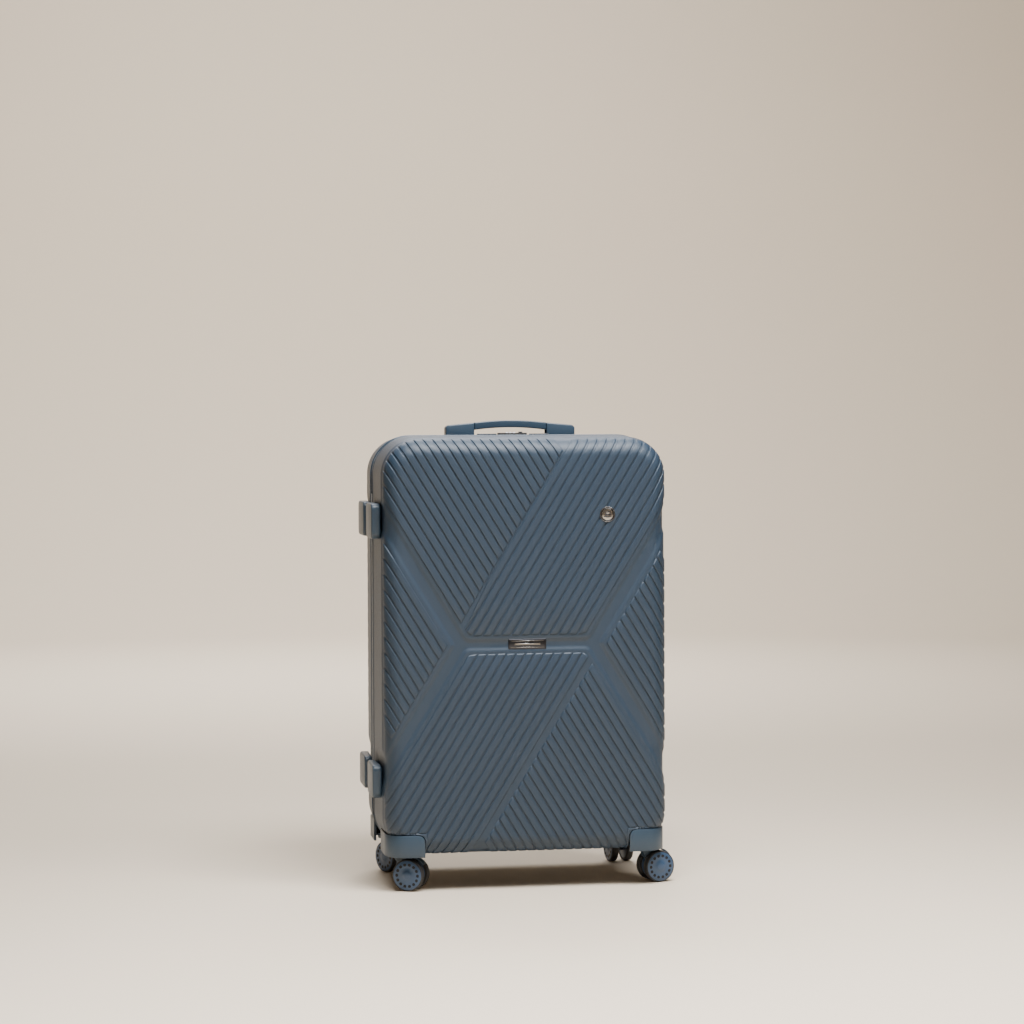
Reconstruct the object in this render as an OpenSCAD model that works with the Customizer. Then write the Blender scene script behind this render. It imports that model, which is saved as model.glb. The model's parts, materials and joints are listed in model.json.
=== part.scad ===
// Hard shell suitcase on four twin-wheel casters, standing upright.
// +X is the right side, +Y the back, +Z up. The floor is z = 0 and the seam is y = 0.

/* [Case] */
// Width of the case at its seam
case_w = 472; // [460:1:500]
// Height of the shells, without wheels and handles
case_h = 680; // [660:1:700]
// Depth of the case from front face to back face
case_d = 280; // [276:1:300]
// Radius of the case's corners at the seam
corner_r = 64; // [62:1:72]
// Radius where the walls turn into the front and back faces
edge_r = 30; // [26:1:30]
// Angle by which the walls lean in, away from the seam
draft = 2.2; // [1.5:0.1:2.5]
// Wall thickness of the shells
wall_t = 2.5; // [2:0.1:3]
// Width of the zip between the two shells
zip_gap = 30; // [28:1:32]
// Height of the shells' underside above the floor
case_z = 55; // [55:1:60]

/* [Pressed cross] */
// Depth of the smooth cross pressed into both faces
cross_depth = 3; // [2:0.5:3]
// Half height of the cross's waist
waist_half = 11.5; // [10:0.5:14]
// Half width of the cross at its waist, to an arm's inner edge
arm_in = 88; // [80:1:95]
// Width of an arm, measured level
arm_w = 40; // [36:1:44]
// Rise of an arm over its run
arm_slope = 1.62; // [1.5:0.01:1.7]

/* [Casters] */
// Radius of a wheel with its tyre
wheel_r = 26; // [25:0.5:26]
// Radius of a wheel's hub, inside the tyre
hub_r = 21.3; // [20:0.1:22]
// Width of one wheel
wheel_w = 12.2; // [11:0.1:12.2]
// Distance from a swivel's axis to the axle
trail = 18; // [17:0.5:19]
// Distance of the swivels from the middle, sideways
pivot_x = 203; // [200:1:205]
// Distance of the swivels from the seam
pivot_y = 96; // [94:1:98]

/* [Handles] */
// Half length of a carry handle between its blocks' inner ends
handle_half = 61; // [58:1:64]
// Distance of the trolley tubes from the middle
tube_x = 70; // [60:1:75]

/* [Hidden] */
$fn = 48;
long_arc_fn = 360;     // sides of the very large arcs
CASTERS = [
    ["front_left", -1, -1, -26],
    ["front_right", 1, -1, 15],
    ["rear_left", -1, 1, -60],
    ["rear_right", 1, 1, 98]
];
WHEEL_SIDES = [["inner", -1], ["outer", 1]];
CASTER_NODES = [for (c = CASTERS) each [
    str(c[0], "_fork"), str(c[0], "_axle"),
    for (w = WHEEL_SIDES) each [str(c[0], "_", w[0], "_hub"), str(c[0], "_", w[0], "_tyre")]
]];
DIALS = [1, 2, 3];

// Case
mid_z = case_z + case_h / 2;
top_z = case_z + case_h;
rim_y = zip_gap / 2;
half_d = case_d / 2;
centre_x = case_w / 2 - corner_r;
centre_z = case_h / 2 - corner_r;
edge_steps = 6;        // flats that make a rounded edge
over = 1;              // how far a cut runs past a face
far = 400;             // beyond the case in any direction
cross_end = centre_x + 27;  // where the arms leave the flat face
cross_z = 3.5;         // height of the cross's middle above the case's middle
gap = 0.3;             // clearance between faces of pieces that move

// Inside
lining_inset = 7;
lining_t = 1.5;
lining_rim = rim_y + 1.5;
rear_lining_back = 94;
strap_w = 25;
strap_t = 1.5;
buckle_w = 60;
buckle_h = 36;
buckle_t = 6;

// Zip
tape_inset = 1.5;
tape_t = 2.5;
tape_split = 1;        // half the width of the gap that the teeth close
hinge_low = 150;
hinge_high = 640;
hinge_margin = 2;
slider_x = 34;
slider_w = 12;
slider_d = 10;
slider_h = 4;
slider_z = top_z - tape_inset + gap;

// Lock
lock_half = 24;
lock_y = [tape_split, rim_y - 0.2];
lock_z = [top_z - 11, top_z + 4];
dial_r = 5.2;
dial_w = 4;
dial_pitch = 6;
dial_first = -15;
dial_axle_r = 1.5;
dial_centre = [(lock_y[0] + lock_y[1]) / 2, top_z];
lock_button_x = [11, 17];
lock_button_travel = 3.5;

// Carry handles: rise of the grip's top, thickness, block heights, slot floor, arc radius
TOP_HANDLE = [25, 12, 21, 17, 3, 472];
SIDE_HANDLE = [14, 6.5, 12, 9, 2, 1850];
handle_y = rim_y + 19;
handle_d = 24;
handle_block = 48;
tongue_d = 15;
tongue_end = 86;
grip_d = 22;

// Trolley
tube_y = 114;
tube_floor = 77;
tube_wall = 1.2;
TUBES = [[22, 14], [18.6, 10.6], [15.2, 7.2]];
cup_half = 108;
cup_y = [96, 132];
cup_floor = 700;
cup_floor_t = 5;
cup_wall = 5;
grip_half = 96;
grip_y = [104.5, 123.5];
grip_z = [708, 722];
button_half = 14;
button_y = [109, 119];
button_travel = 2.5;
bracket_half = 85;
bracket_y = 105;
screw_x = 40;
screw_r = 1.8;
screw_head_r = 3.5;
screw_depth = 6;

stage_z = [[tube_floor, cup_floor], [tube_floor + 8, cup_floor + 4.5], [tube_floor + 13, grip_z[0]]];
grip_r = 9;
button_pocket = 6;
button_root = 0.5;
button_proud = 1.5;

// Small parts of the handles, lock, sliders and straps
block_root = 6;
block_bevel = 4;
tongue_room = 2;
lock_inset = 3;
lock_button_up = 2;
pull_len = 20;
pull_half = 3.5;
pull_t = 2;
strap_share = 0.4;     // half a strap over the case's width
buckle_fit = 0.2;
buckle_r = 6;

// Wheel housings and casters
housing_x = 168;
housing_y = 50;
housing_z = [66, 93];
housing_wall = 4;
cover_x = 229.5;       // outer side of a housing
cover_r = 38;          // its upright corner
cover_low = 57;        // low edge of its skirt
boss_r = 13;
foot_boss_r = 10;
pin_r = 4;
pin_head_r = 6.5;
pin_head_t = 1.8;
pin_top = 88;
disc_r = 15;
disc_z = [55, 63];
run_fit = 0.06;        // radial clearance of a running fit
web_d = 13;
hood_r = wheel_r + 1.3;
hood_t = 2;
hood_half = web_d / 2;
hood_angle = 55;       // half the hood's arc, each side of straight up
axle_r = 3;
axle_head_r = 5;
axle_head_t = 1.2;
axle_boss_r = 8;
wheel_in = 7.2;
axle_play = 0.1;
web_back = 12;
web_front = 14;
web_lap = 2;
web_rise = 3;
tyre_edge = 3;

// Side feet: low and high edge of each
FEET = [[149, 203], [569, 626]];
foot_out = 12;
foot_y = [rim_y + 5, rim_y + 85];
foot_r = 10;

// Badge and emblem
badge_w = 62;
badge_h = 17;
badge_t = 1.6;
emblem_r = 12.5;
emblem_t = 1.6;
emblem_x = 132;
emblem_z = 607;

module rounded_rect(w, h, r) {
    square([w - 2 * r, h], center = true);
    square([w, h - 2 * r], center = true);
    for (sx = [-1, 1], sy = [-1, 1])
        translate([sx * (w / 2 - r), sy * (h / 2 - r)]) circle(r);
}

// Box between two corners
module block(low, high) {
    translate(low) cube(high - low);
}

// Section of a wall from its corner's centre: leaning side, edge turned in steps, flat face
module wall_section(inset, depth, open) {
    r = edge_r - inset;
    base = corner_r - inset;
    arc_x = base - (r + (depth - r) * sin(draft)) / cos(draft);
    polygon(concat(
        [[0, -open], [base + open * tan(draft), -open]],
        [for (i = [0:edge_steps]) let (turn = draft + (90 - draft) * i / edge_steps)
            [arc_x + r * cos(turn), depth - r + r * sin(turn)]],
        [[0, depth]]
    ));
}

// One half of the case, filled, with every face moved in by inset and the rim at y = rim
module half_solid(inset = 0, open = 0, rim = rim_y, back = half_d) {
    depth = back - inset - rim;
    mirror([0, 1, 0]) translate([0, -rim, mid_z]) rotate([90, 0, 0]) {
        for (sx = [0, 1], sy = [0, 1])
            mirror([sx, 0, 0]) mirror([0, sy, 0]) translate([centre_x, centre_z, 0])
                rotate_extrude(angle = 90) wall_section(inset, depth, open);
        for (turn = [0, 180]) rotate(turn) {
            translate([centre_x, centre_z, 0]) rotate([90, 0, 0])
                linear_extrude(2 * centre_z) wall_section(inset, depth, open);
            rotate(90) translate([centre_z, centre_x, 0]) rotate([90, 0, 0])
                linear_extrude(2 * centre_x) wall_section(inset, depth, open);
        }
        translate([-centre_x, -centre_z, -open]) cube([2 * centre_x, 2 * centre_z, depth + open]);
    }
}

// The cross on a flat face, cut from depth inwards; grow widens it
module cross_prism(depth, grow = 0) {
    rise = (cross_end - arm_in) * arm_slope;
    translate([0, far, mid_z + cross_z]) rotate([90, 0, 0]) linear_extrude(far - half_d + depth)
        intersection() {
            square([2 * (cross_end + grow), case_h], center = true);
            union() {
                square([2 * arm_in + arm_w, 2 * (waist_half + grow)], center = true);
                for (sx = [0, 1], sz = [0, 1]) mirror([sx, 0]) mirror([0, sz]) polygon([
                    [arm_in - grow, 0], [arm_in + arm_w + grow, 0],
                    [arm_in + arm_w + 2 * grow + rise / arm_slope, rise + grow * arm_slope],
                    [arm_in + rise / arm_slope, rise + grow * arm_slope]
                ]);
            }
        }
}

// Outer form of one half, with the cross pressed into its face
module pressed_solid() {
    difference() {
        half_solid();
        cross_prism(cross_depth);
    }
}

// Hollow of one half, which stays a wall's thickness behind the pressed form
module pressed_hollow() {
    difference() {
        half_solid(wall_t, over);
        cross_prism(cross_depth + wall_t, wall_t);
    }
}

// Bottom corners of one half that the wheel housings take
module housing_zone(grow, low = 0) {
    for (sx = [0, 1]) mirror([sx, 0, 0])
        block([housing_x - grow, housing_y - grow, low], [far, far, housing_z[1] + grow]);
}

module half_shell() {
    difference() {
        pressed_solid();
        pressed_hollow();
        housing_zone(0);
    }
}

// Thin lining that follows the inside of one half and tucks round the wheel housings
module half_lining(back) {
    difference() {
        half_solid(lining_inset, 0, lining_rim, back);
        housing_zone(2);
        difference() {
            half_solid(lining_inset + lining_t, over, lining_rim, back);
            housing_zone(2 + lining_t);
        }
    }
}

// Ring of zip tape on one side of the seam, open where the hinge tape lies
module half_zip_tape() {
    ring_d = rim_y - tape_split;
    difference() {
        translate([0, rim_y, mid_z]) rotate([90, 0, 0]) linear_extrude(ring_d) difference() {
            rounded_rect(case_w - 2 * tape_inset, case_h - 2 * tape_inset, corner_r - tape_inset);
            rounded_rect(case_w - 2 * (tape_inset + tape_t), case_h - 2 * (tape_inset + tape_t),
                         corner_r - tape_inset - tape_t);
        }
        block([-far, -over, hinge_low - hinge_margin], [-case_w / 4, far, hinge_high + hinge_margin]);
    }
}

module half_side_feet() {
    difference() {
        for (z = FEET) translate([-case_w / 2 - foot_out, (foot_y[0] + foot_y[1]) / 2, (z[0] + z[1]) / 2])
            rotate([0, 90, 0]) linear_extrude(foot_out * 2)
                rounded_rect(z[1] - z[0], foot_y[1] - foot_y[0], foot_r);
        half_solid();
    }
}

// Boxy outline of the housings seen from above, moved in by inset
module cover_outline(inset) {
    rounded_rect(2 * (cover_x - inset), 2 * (half_d - inset), cover_r - inset);
}

module half_wheel_housings() {
    for (sx = [0, 1]) mirror([sx, 0, 0]) difference() {
        union() {
            difference() {
                intersection() {
                    translate([0, 0, cover_low]) linear_extrude(housing_z[1] - cover_low)
                        cover_outline(0);
                    block([housing_x, housing_y, cover_low], [far, far, housing_z[1]]);
                }
                translate([0, 0, cover_low - over]) linear_extrude(housing_z[0] - cover_low + over)
                    cover_outline(housing_wall);
                intersection() {
                    half_solid(housing_wall);
                    block([housing_x + housing_wall, housing_y + housing_wall, housing_z[0] + housing_wall],
                          [far, far, housing_z[1] + over]);
                }
            }
            translate([pivot_x, pivot_y, housing_z[0]]) cylinder(housing_z[1] - housing_z[0], boss_r, boss_r);
            translate([pivot_x, pivot_y, disc_z[1] + gap])
                cylinder(housing_z[0] - disc_z[1], foot_boss_r, foot_boss_r);
        }
        translate([pivot_x, pivot_y, disc_z[0]]) cylinder(pin_top - disc_z[0], pin_r, pin_r);
    }
}

module half_swivel_pins() {
    for (sx = [0, 1]) mirror([sx, 0, 0]) translate([pivot_x, pivot_y, 0]) {
        translate([0, 0, disc_z[0]]) cylinder(pin_top - disc_z[0], pin_r, pin_r);
        translate([0, 0, disc_z[0] - pin_head_t - gap]) cylinder(pin_head_t, pin_head_r, pin_head_r);
        translate([0, 0, disc_z[0] - 2 * gap]) cylinder(3 * gap, pin_r, pin_r);
    }
}

// Case, back half
module rear_shell() {
    color("#33475f") difference() {
        half_shell();
        block([-cup_half, cup_y[0], cup_floor], [cup_half, cup_y[1], far * 2]);
    }
}
module rear_zip_tape() {
    color("#1c2531") difference() {
        half_zip_tape();
        block([-lock_half, -over, lock_z[0]], [lock_half, rim_y + over, far * 2]);
    }
}
module rear_lining() { color("#4a4f57") half_lining(rear_lining_back + lining_inset); }
module rear_side_feet() { color("#2c3e54") half_side_feet(); }
module rear_wheel_housings() { color("#2a3b50") half_wheel_housings(); }
module rear_swivel_pins() { color("silver") half_swivel_pins(); }

// Case, front half
module front_half() { mirror([0, 1, 0]) children(); }
module front_shell() { color("#33475f") front_half() half_shell(); }
module front_zip_tape() { color("#1c2531") front_half() half_zip_tape(); }
module front_lining() { color("#4a4f57") front_half() half_lining(half_d); }
module front_side_feet() { color("#2c3e54") front_half() half_side_feet(); }
module front_wheel_housings() { color("#2a3b50") front_half() half_wheel_housings(); }
module front_swivel_pins() { color("silver") front_half() half_swivel_pins(); }

// Cloth strip that joins the two halves down the left side
module hinge_tape() {
    color("#1c2531") block([-case_w / 2, 1 - rim_y, hinge_low],
                           [tape_t - case_w / 2, rim_y - 1, hinge_high]);
}

// Two elastic bands that lie slack against the back lining and meet in a buckle
module packing_straps() {
    back = rear_lining_back - lining_t - gap;
    strap_len = case_w * strap_share;
    color("#22262c") difference() {
        translate([0, back, mid_z]) rotate([90, 0, 0]) linear_extrude(strap_t) {
            for (turn = [45, -45]) rotate(turn) square([2 * strap_len, strap_w], center = true);
        }
        strap_buckle_body(buckle_fit);
    }
}
module strap_buckle_body(grow) {
    back = rear_lining_back - lining_t - gap;
    translate([0, back, mid_z]) rotate([90, 0, 0]) translate([0, 0, -grow])
        linear_extrude(buckle_t + 2 * grow) rounded_rect(buckle_w + 2 * grow, buckle_h + 2 * grow, buckle_r);
}
module strap_buckle() { color("#15181c") strap_buckle_body(0); }

// Carry handle in its own frame: x along the grip, z away from the case's wall
module handle_bar(h, depth, end) {
    intersection() {
        translate([0, depth / 2, h[0] - h[5]]) rotate([90, 0, 0]) difference() {
            cylinder(depth, h[5], h[5], $fn = long_arc_fn);
            translate([0, 0, -over])
                cylinder(depth + 2 * over, h[5] - h[1], h[5] - h[1], $fn = long_arc_fn);
        }
        block([-end, -depth, -far], [end, depth, far]);
    }
}
module handle_grip(h) {
    handle_bar(h, grip_d, handle_half - gap);
    handle_bar(h, tongue_d, tongue_end);
}
module handle_blocks(h) {
    outer = handle_half + handle_block;
    for (sx = [0, 1]) mirror([sx, 0, 0]) difference() {
        translate([0, handle_d / 2, 0]) rotate([90, 0, 0]) linear_extrude(handle_d) polygon([
            [handle_half, -block_root], [outer, -block_root], [outer, h[3] - block_bevel],
            [outer - block_bevel, h[3]], [handle_half, h[2]]
        ]);
        block([0, -tongue_d / 2 - gap, h[4]], [tongue_end + tongue_room, tongue_d / 2 + gap, far]);
    }
}
module on_top() { translate([0, handle_y, top_z]) children(); }
module on_right_side() { translate([case_w / 2, handle_y, mid_z]) rotate([0, 90, 0]) children(); }
module top_handle_grip() { color("#1f2b3a") on_top() handle_grip(TOP_HANDLE); }
module side_handle_grip() { color("#1f2b3a") on_right_side() handle_grip(SIDE_HANDLE); }
module top_handle_blocks() {
    color("#2c3e54") difference() { on_top() handle_blocks(TOP_HANDLE); half_solid(); }
}
module side_handle_blocks() {
    color("#2c3e54") difference() { on_right_side() handle_blocks(SIDE_HANDLE); half_solid(); }
}

// Telescopic trolley handle
module tube_pair(stage, low, high) {
    size = TUBES[stage];
    for (sx = [-1, 1]) translate([sx * tube_x, tube_y, low]) linear_extrude(high - low) difference() {
        square(size, center = true);
        square([size[0] - 2 * tube_wall, size[1] - 2 * tube_wall], center = true);
    }
}
module trolley_outer_tubes() { color("silver") tube_pair(0, stage_z[0][0], stage_z[0][1]); }
module trolley_middle_tubes() { color("silver") tube_pair(1, stage_z[1][0], stage_z[1][1]); }
module trolley_inner_tubes() { color("silver") tube_pair(2, stage_z[2][0], stage_z[2][1]); }
module trolley_cup() {
    color("#15181c") difference() {
        intersection() {
            half_solid();
            block([-cup_half, cup_y[0], cup_floor], [cup_half, cup_y[1], far * 2]);
        }
        block([cup_wall - cup_half, cup_y[0] + cup_wall, cup_floor + cup_floor_t],
              [cup_half - cup_wall, cup_y[1] - cup_wall, far * 2]);
        for (sx = [-1, 1]) translate([sx * tube_x, tube_y, cup_floor])
            cube([TUBES[1][0] + 2 * gap, TUBES[1][1] + 2 * gap, 4 * cup_floor_t], center = true);
    }
}
module trolley_grip() {
    color("#15181c") difference() {
        translate([0, (grip_y[0] + grip_y[1]) / 2, grip_z[0]]) linear_extrude(grip_z[1] - grip_z[0])
            rounded_rect(2 * grip_half, grip_y[1] - grip_y[0], grip_r);
        block([-button_half - gap, button_y[0] - gap, grip_z[1] - button_pocket],
              [button_half + gap, button_y[1] + gap, far * 2]);
    }
}
module trolley_button() {
    color("#6d7681") block([-button_half, button_y[0], grip_z[1] - button_travel - button_root],
                           [button_half, button_y[1], grip_z[1] + button_proud]);
}
module tube_foot_bracket() {
    color("#3a3f46") difference() {
        intersection() {
            half_solid(wall_t);
            block([-bracket_half, bracket_y, case_z], [bracket_half, far, tube_floor]);
        }
        for (sx = [-1, 1]) translate([sx * screw_x, tube_y, tube_floor - screw_depth])
            cylinder(screw_depth + over, screw_r, screw_r);
    }
}
module bracket_screws() {
    color("silver") for (sx = [-1, 1]) translate([sx * screw_x, tube_y, tube_floor]) {
        translate([0, 0, -screw_depth]) cylinder(screw_depth, screw_r, screw_r);
        cylinder(2, screw_head_r, screw_head_r);
    }
}

// Combination lock in the zip's line, above the seam
module lock_body() {
    color("#2b3038") {
        difference() {
            block([-lock_half, lock_y[0], lock_z[0]], [lock_half, lock_y[1], lock_z[1]]);
            for (d = DIALS) translate([dial_first + dial_pitch * d, dial_centre[0], dial_centre[1] + far / 2])
                cube([dial_w + 2 * gap, 2 * dial_r + 2 * gap, far + 2 * dial_r + 2 * gap], center = true);
            block([lock_button_x[0] - gap, lock_y[0] + lock_inset - gap, lock_z[1] - lock_inset - gap],
                  [lock_button_x[1] + lock_button_travel + gap, lock_y[1] - lock_inset + gap, far * 2]);
        }
        translate([dial_first + dial_pitch / 2, dial_centre[0], dial_centre[1]]) rotate([0, 90, 0])
            cylinder(dial_pitch * len(DIALS), dial_axle_r, dial_axle_r);
    }
}
module lock_dial(d) {
    color("#d7d9dc") translate([dial_first + dial_pitch * d - dial_w / 2, dial_centre[0], dial_centre[1]])
        rotate([0, 90, 0]) difference() {
            cylinder(dial_w, dial_r, dial_r);
            translate([0, 0, -over])
                cylinder(dial_w + 2 * over, dial_axle_r + run_fit, dial_axle_r + run_fit);
        }
}
module lock_button() {
    color("#8a2f2a") block([lock_button_x[0], lock_y[0] + lock_inset, lock_z[1] - lock_inset],
                           [lock_button_x[1], lock_y[1] - lock_inset, lock_z[1] + lock_button_up]);
}
module zip_slider() {
    color("#3b414a") translate([slider_x, 0, slider_z]) {
        block([-slider_w / 2, -slider_d / 2, 0], [slider_w / 2, slider_d / 2, slider_h]);
        block([slider_w / 2, -pull_half, slider_h - pull_t], [slider_w / 2 + pull_len, pull_half, slider_h]);
    }
}
module right_zip_slider() { zip_slider(); }
module left_zip_slider() { mirror([1, 0, 0]) zip_slider(); }

// Plain metal badge on the waist and a plain round emblem on the upper right rib field
module badge_plate() {
    color("#8d98a6") translate([0, cross_depth - half_d, mid_z + cross_z]) rotate([90, 0, 0])
        linear_extrude(badge_t) rounded_rect(badge_w, badge_h, 2);
}
module round_emblem() {
    color("#8d98a6") translate([emblem_x, -half_d, emblem_z]) rotate([90, 0, 0])
        cylinder(emblem_t, emblem_r, emblem_r);
}

// Caster in its own frame: swivel axis at the origin, trail along +X, axle along Y
module at_caster(c) { translate([c[1] * pivot_x, c[2] * pivot_y, 0]) rotate(c[3]) children(); }
module at_axle() { translate([trail, 0, wheel_r]) rotate([90, 0, 0]) children(); }
module fork(c) {
    color("#2c3e54") at_caster(c) difference() {
        union() {
            translate([0, 0, disc_z[0]]) cylinder(disc_z[1] - disc_z[0], disc_r, disc_r);
            translate([0, web_d / 2, 0]) rotate([90, 0, 0]) linear_extrude(web_d) {
                polygon([[-web_back, disc_z[0] + web_lap], [web_front, disc_z[0] + web_lap],
                         [trail + axle_boss_r, wheel_r + web_rise], [trail, wheel_r - axle_boss_r],
                         [trail - axle_boss_r, wheel_r - web_lap]]);
                translate([trail, wheel_r]) circle(axle_boss_r);
            }
            intersection() {
                at_axle() translate([0, 0, -hood_half]) difference() {
                    cylinder(2 * hood_half, hood_r + hood_t, hood_r + hood_t);
                    translate([0, 0, -over]) cylinder(2 * (hood_half + over), hood_r, hood_r);
                }
                at_axle() translate([0, 0, -hood_half]) linear_extrude(2 * hood_half) polygon([
                    [0, 0], [far * sin(hood_angle), far * cos(hood_angle)],
                    [-far * sin(hood_angle), far * cos(hood_angle)]
                ]);
            }
        }
        cylinder(far, pin_r + run_fit, pin_r + run_fit);
        translate([0, 0, disc_z[0] - pin_head_t - 2 * gap])
            cylinder(pin_head_t + 2 * gap, pin_head_r + gap, pin_head_r + gap);
        at_axle() translate([0, 0, -web_d]) cylinder(2 * web_d, axle_r, axle_r);
    }
}
module axle(c) {
    reach = wheel_in + wheel_w + axle_play;
    color("silver") at_caster(c) at_axle() {
        translate([0, 0, -reach]) cylinder(2 * reach, axle_r, axle_r);
        for (sz = [0, 1]) mirror([0, 0, sz]) translate([0, 0, reach])
            cylinder(axle_head_t, axle_head_r, axle_head_r);
    }
}
module at_wheel(c, side) {
    at_caster(c) at_axle() translate([0, 0, side * (wheel_in + wheel_w / 2)]) children();
}
module hub(c, side) {
    color("#4d6077") at_wheel(c, side) translate([0, 0, -wheel_w / 2]) difference() {
        cylinder(wheel_w, hub_r, hub_r);
        translate([0, 0, -over]) cylinder(wheel_w + 2 * over, axle_r + run_fit, axle_r + run_fit);
    }
}
module tyre(c, side) {
    tread = wheel_w - 2 * tyre_edge;
    color("#17181a") at_wheel(c, side) rotate_extrude() intersection() {
        union() {
            translate([hub_r, -wheel_w / 2]) square([wheel_r - tyre_edge - hub_r, wheel_w]);
            translate([hub_r, -tread / 2]) square([wheel_r - hub_r, tread]);
            for (s = [-1, 1]) translate([wheel_r - tyre_edge, s * tread / 2]) circle(tyre_edge);
        }
        translate([hub_r, -wheel_w / 2]) square([wheel_r - hub_r + over, wheel_w]);
    }
}

rear_shell();
rear_zip_tape();
rear_lining();
packing_straps();
strap_buckle();
top_handle_blocks();
side_handle_blocks();
rear_side_feet();
trolley_cup();
trolley_outer_tubes();
tube_foot_bracket();
bracket_screws();
lock_body();
rear_wheel_housings();
rear_swivel_pins();
hinge_tape();
front_shell();
front_zip_tape();
front_lining();
front_side_feet();
badge_plate();
round_emblem();
front_wheel_housings();
front_swivel_pins();
top_handle_grip();
side_handle_grip();
trolley_middle_tubes();
trolley_inner_tubes();
trolley_grip();
trolley_button();
lock_button();
left_zip_slider();
right_zip_slider();
for (d = DIALS)
    lock_dial(d);
for (c = CASTERS) {
    fork(c);
    axle(c);
    for (w = WHEEL_SIDES) {
        hub(c, w[1]);
        tyre(c, w[1]);
    }
}
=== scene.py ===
"""Hard shell suitcase on four twin-wheel casters: ribbed shells, zip, handles, lock and wheels."""

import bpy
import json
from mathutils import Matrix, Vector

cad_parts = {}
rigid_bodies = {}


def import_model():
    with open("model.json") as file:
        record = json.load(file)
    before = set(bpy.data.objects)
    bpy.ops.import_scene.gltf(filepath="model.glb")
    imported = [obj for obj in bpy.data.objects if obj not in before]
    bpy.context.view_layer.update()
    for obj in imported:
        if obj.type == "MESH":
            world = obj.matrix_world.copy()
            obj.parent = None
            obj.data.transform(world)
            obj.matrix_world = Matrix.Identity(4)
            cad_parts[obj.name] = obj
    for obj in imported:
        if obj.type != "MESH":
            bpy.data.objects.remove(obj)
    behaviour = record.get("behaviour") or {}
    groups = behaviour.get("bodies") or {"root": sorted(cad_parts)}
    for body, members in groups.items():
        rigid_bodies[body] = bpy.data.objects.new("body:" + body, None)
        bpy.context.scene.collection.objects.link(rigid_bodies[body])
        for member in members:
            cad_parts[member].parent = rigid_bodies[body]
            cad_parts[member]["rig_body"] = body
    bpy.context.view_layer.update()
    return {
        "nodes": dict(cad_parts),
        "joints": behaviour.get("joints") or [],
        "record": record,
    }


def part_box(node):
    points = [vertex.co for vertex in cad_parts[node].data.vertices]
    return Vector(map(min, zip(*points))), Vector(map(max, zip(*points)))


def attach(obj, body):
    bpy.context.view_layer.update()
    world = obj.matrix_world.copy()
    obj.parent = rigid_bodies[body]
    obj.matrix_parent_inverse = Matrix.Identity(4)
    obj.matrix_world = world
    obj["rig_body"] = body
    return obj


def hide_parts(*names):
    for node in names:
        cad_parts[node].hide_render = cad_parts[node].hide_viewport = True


bl_info = {
    "name": "Ribbed travel case",
    "version": (1, 0, 0),
    "blender": (4, 5, 0),
    "location": "View3D > Sidebar > Case",
    "description": "Builds the visual pieces of a ribbed hard shell case round its packed frame",
    "category": "Object",
}

import json
import math

import bmesh
import bpy
import numpy as np
from bpy.props import FloatProperty, FloatVectorProperty, IntProperty, PointerProperty
from mathutils import Matrix, Vector, noise

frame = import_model()
MM = 0.001
FRONT, REAR = -1, 1
CASTERS = ["front_left", "front_right", "rear_left", "rear_right"]
WHEELS = ["inner", "outer"]
HALVES = (("front", "front_case"), ("rear", "rear_case"))
ZIP_ENDS = (0.148, 0.642)  # heights between which the hinge cloth takes the zip's place
TAPE_RADIUS = 0.0622
STRAP_WIDTH = 0.025
CREASE = 0.0011
PAST_EDGE = 0.006         # how far past the rounded edge the ribbed part of the wall goes
COVER_STEP = 0.005        # how far the shell steps in under a corner cover
COVER_FLOOR = 0.0675      # height its bottom corners are lifted to there
WAVES_PER_THREAD = 0.31


def joint_of(name):
    """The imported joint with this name."""
    return next(j for j in frame["joints"] if j["name"] == name)


# ---------------------------------------------------------------- settings

def size(name, description, default, **limits):
    """A length that a user may change."""
    return FloatProperty(name=name, description=description, default=default, unit="LENGTH", **limits)


def turn_of(name, description, degrees):
    """An angle that a user may change, given in degrees."""
    return FloatProperty(name=name, description=description, default=math.radians(degrees), subtype="ANGLE")


def colour_of(name, description, default):
    """A colour that a user may change."""
    return FloatVectorProperty(name=name, description=description, subtype="COLOR", default=default)


class CaseShellSettings(bpy.types.PropertyGroup):
    """Sizes of the ribbed shells"""
    corner: size("Corner radius", "Radius of the case's corners at the seam", 0.064, min=0.06)
    edge: size("Edge radius", "Radius where walls turn into the face", 0.030, min=0.02)
    draft: turn_of("Draft", "Lean of the walls", 2.2)
    wall: size("Wall", "Thickness of a shell", 0.0024)
    pitch: size("Rib pitch", "Distance from rib to rib, square to them", 0.0132, min=0.008)
    rib_height: size("Rib height", "Height of a rib above its groove", 0.0017)
    rib_slope: FloatProperty(name="Rib slope", description="Rise of a rib and of an arm over its run",
                             default=1.62)
    cross_depth: size("Cross depth", "Depth of the smooth pressed cross", 0.0040)
    cross_rise: size("Cross rise", "Height of the cross's middle above the case's", 0.0035)
    waist: size("Waist", "Half height of the cross's waist", 0.0135)
    arm_in: size("Arm inner edge", "Half width of the cross to an arm's inner edge", 0.088)
    arm_out: size("Arm outer edge", "Half width of the cross to an arm's outer edge", 0.128)
    cover_in: size("Cover's inner side", "Half width between two corner covers", 0.168)
    cover_round: size("Cover rounding", "Radius of a cover's inner top corner", 0.012)
    cell: size("Mesh cell", "Size of the shells' mesh faces", 0.0025)


class CaseWheelSettings(bpy.types.PropertyGroup):
    """Sizes of the wheels"""
    holes: IntProperty(name="Hub holes", description="Small holes in each hub's face", default=14, min=4)
    hole_radius: size("Hole radius", "Radius of a hub's small hole", 0.0026)
    hole_ring: size("Hole ring", "Radius of the ring of holes", 0.0178)
    hub_face: size("Hub face", "Radius of a hub's outer face", 0.0236)


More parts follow.
